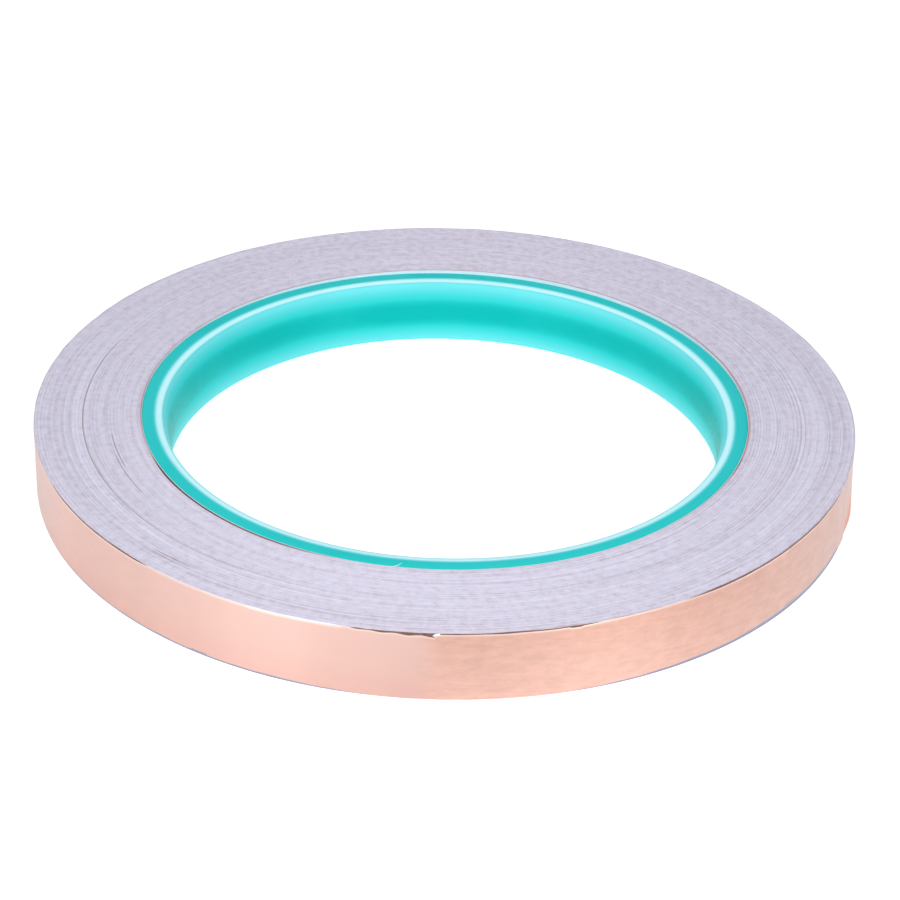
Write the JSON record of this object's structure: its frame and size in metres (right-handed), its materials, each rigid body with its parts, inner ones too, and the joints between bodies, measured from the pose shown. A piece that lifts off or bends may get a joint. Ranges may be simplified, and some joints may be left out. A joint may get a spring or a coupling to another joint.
{
  "type": "copper foil tape roll",
  "caption": "Roll of narrow adhesive-backed copper foil tape wound on a plastic ring core, with a loose tape end that lifts and a release liner that peels from it.",
  "frame": {"origin": "middle of the roll's lower face, where it rests on a table", "axes": "+Z along the roll's axis, up from the table; the tape's loose end is on the +X side, 17 degrees towards -Y"},
  "size_m": [0.1137, 0.1139, 0.01],
  "materials": {
    "core_plastic": "satin",
    "wound_edges": "matte",
    "copper_foil": "satin",
    "adhesive": "matte",
    "release_liner": "matte"
  },
  "bodies": {
    "roll": {"core_ring": "core_plastic", "first_turn_liner": "release_liner", "first_turn_adhesive": "adhesive", "first_turn_foil": "copper_foil", "wound_pack_inner": "wound_edges", "wound_pack_outer": "wound_edges", "last_turn_liner": "release_liner", "last_turn_adhesive": "adhesive", "last_turn_foil": "copper_foil"},
    "tail_1": {"tail_foil_1": "copper_foil", "tail_adhesive_1": "adhesive", "tail_liner_1": "release_liner"},
    "tail_2": {"tail_foil_2": "copper_foil", "tail_adhesive_2": "adhesive", "tail_liner_2": "release_liner"},
    "tail_3": {"tail_foil_3": "copper_foil", "tail_adhesive_3": "adhesive", "tail_liner_3": "release_liner"},
    "tail_4": {"tail_foil_4": "copper_foil", "tail_adhesive_4": "adhesive", "tail_liner_4": "release_liner"},
    "tail_5": {"tail_foil_5": "copper_foil", "tail_adhesive_5": "adhesive"},
    "liner_end": {"tail_liner_5": "release_liner"}
  },
  "joints": [
    {"name": "tail_lift_1", "type": "hinge", "parent": "roll", "child": "tail_1", "pos_m": [0.03887, -0.04168, 0], "axis": [0, 0, -1], "range_deg": [0, 18]},
    {"name": "tail_lift_2", "type": "hinge", "parent": "tail_1", "child": "tail_2", "pos_m": [0.04301, -0.03739, 0], "axis": [0, 0, -1], "range_deg": [0, 18]},
    {"name": "tail_lift_3", "type": "hinge", "parent": "tail_2", "child": "tail_3", "pos_m": [0.04669, -0.03269, 0], "axis": [0, 0, -1], "range_deg": [0, 18]},
    {"name": "tail_lift_4", "type": "hinge", "parent": "tail_3", "child": "tail_4", "pos_m": [0.04985, -0.02763, 0], "axis": [0, 0, -1], "range_deg": [0, 18]},
    {"name": "tail_lift_5", "type": "hinge", "parent": "tail_4", "child": "tail_5", "pos_m": [0.05247, -0.02227, 0], "axis": [0, 0, -1], "range_deg": [0, 18]},
    {"name": "liner_peel", "type": "hinge", "parent": "tail_4", "child": "liner_end", "pos_m": [0.05247, -0.02227, 0], "axis": [0, 0, 1], "range_deg": [0, 27]}
  ],
  "couplings": [
    {"joint": "tail_lift_2", "follows": "tail_lift_1", "ratio": 1},
    {"joint": "tail_lift_3", "follows": "tail_lift_1", "ratio": 1},
    {"joint": "tail_lift_4", "follows": "tail_lift_1", "ratio": 1},
    {"joint": "tail_lift_5", "follows": "tail_lift_1", "ratio": 1},
    {"joint": "liner_peel", "follows": "tail_lift_1", "ratio": 1.5}
  ]
}
